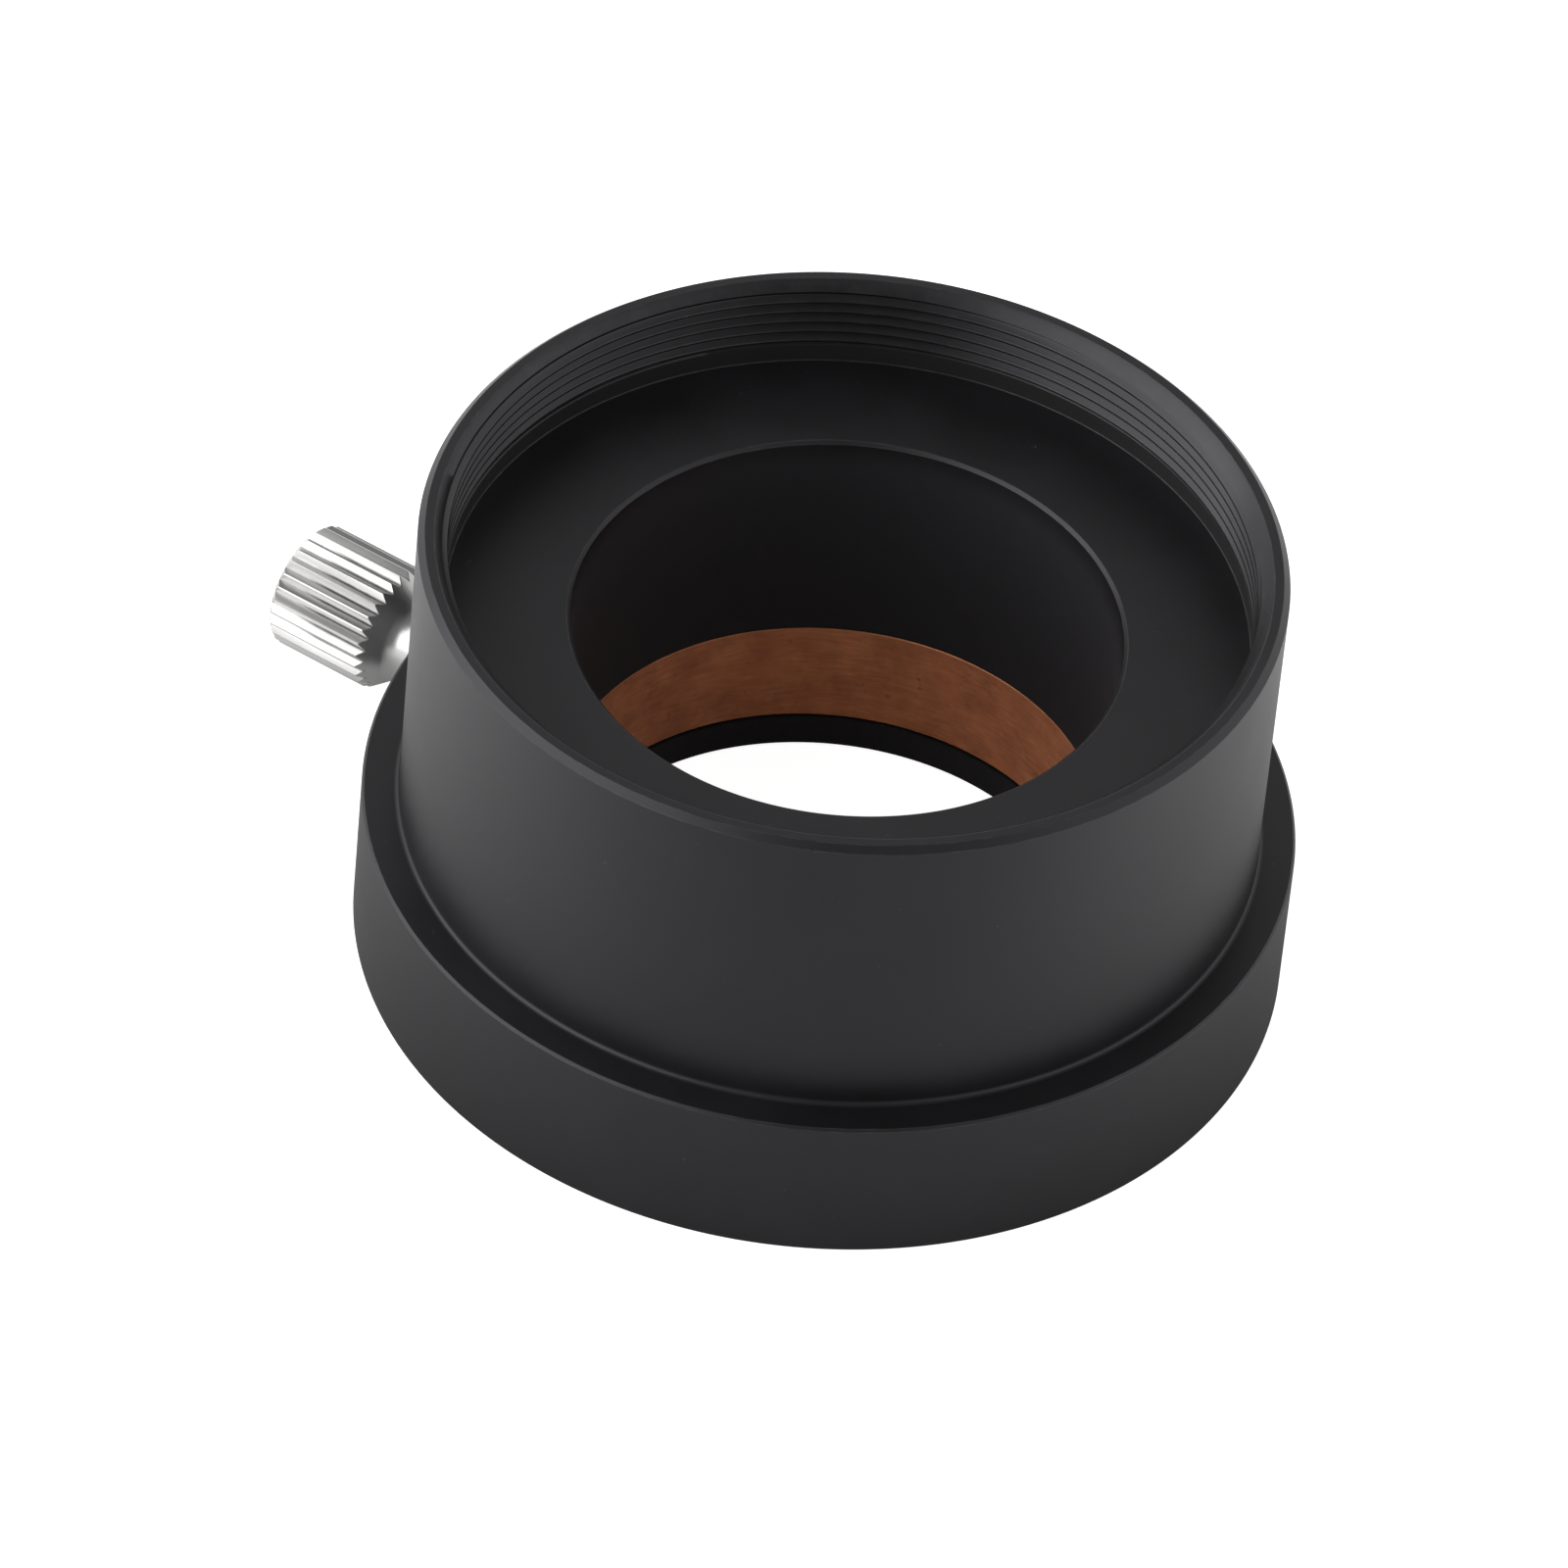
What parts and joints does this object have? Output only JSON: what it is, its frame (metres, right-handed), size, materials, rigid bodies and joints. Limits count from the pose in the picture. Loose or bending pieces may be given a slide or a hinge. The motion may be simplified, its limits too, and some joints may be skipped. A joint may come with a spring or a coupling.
{
  "type": "eyepiece adapter",
  "caption": "Stepped round telescope adapter: holds a small eyepiece in a larger focuser, clamped by a split ring and a fluted thumbscrew.",
  "frame": {"origin": "on the optical axis, at the foot of the bore in the plane of the flange's underside", "axes": "+Z along the optical axis from the eyepiece end up to the nose; the thumbscrew's head is on the -X side"},
  "size_m": [0.0656, 0.0552, 0.0297],
  "materials": {
    "anodised_aluminium": "black anodised, fine satin",
    "ring_bronze": "turned, dull copper brown",
    "screw_chrome": "bright plated"
  },
  "bodies": {
    "adapter": {"body": "anodised_aluminium"},
    "ring": {"compression_ring": "ring_bronze"},
    "screw": {"thumbscrew": "screw_chrome"}
  },
  "joints": [
    {"name": "ring_clamp", "type": "slide", "parent": "adapter", "child": "ring", "axis": [1, 0, 0], "range_m": [0, 0.00035]},
    {"name": "screw_turn", "type": "hinge", "parent": "ring", "child": "screw", "pos_m": [-0.03, 0, 0.00585], "axis": [1, 0, 0], "range_deg": [0, 180]}
  ],
  "couplings": [
    {"joint": "screw_turn", "follows": "ring_clamp", "rad_per_m": 8975.9}
  ]
}
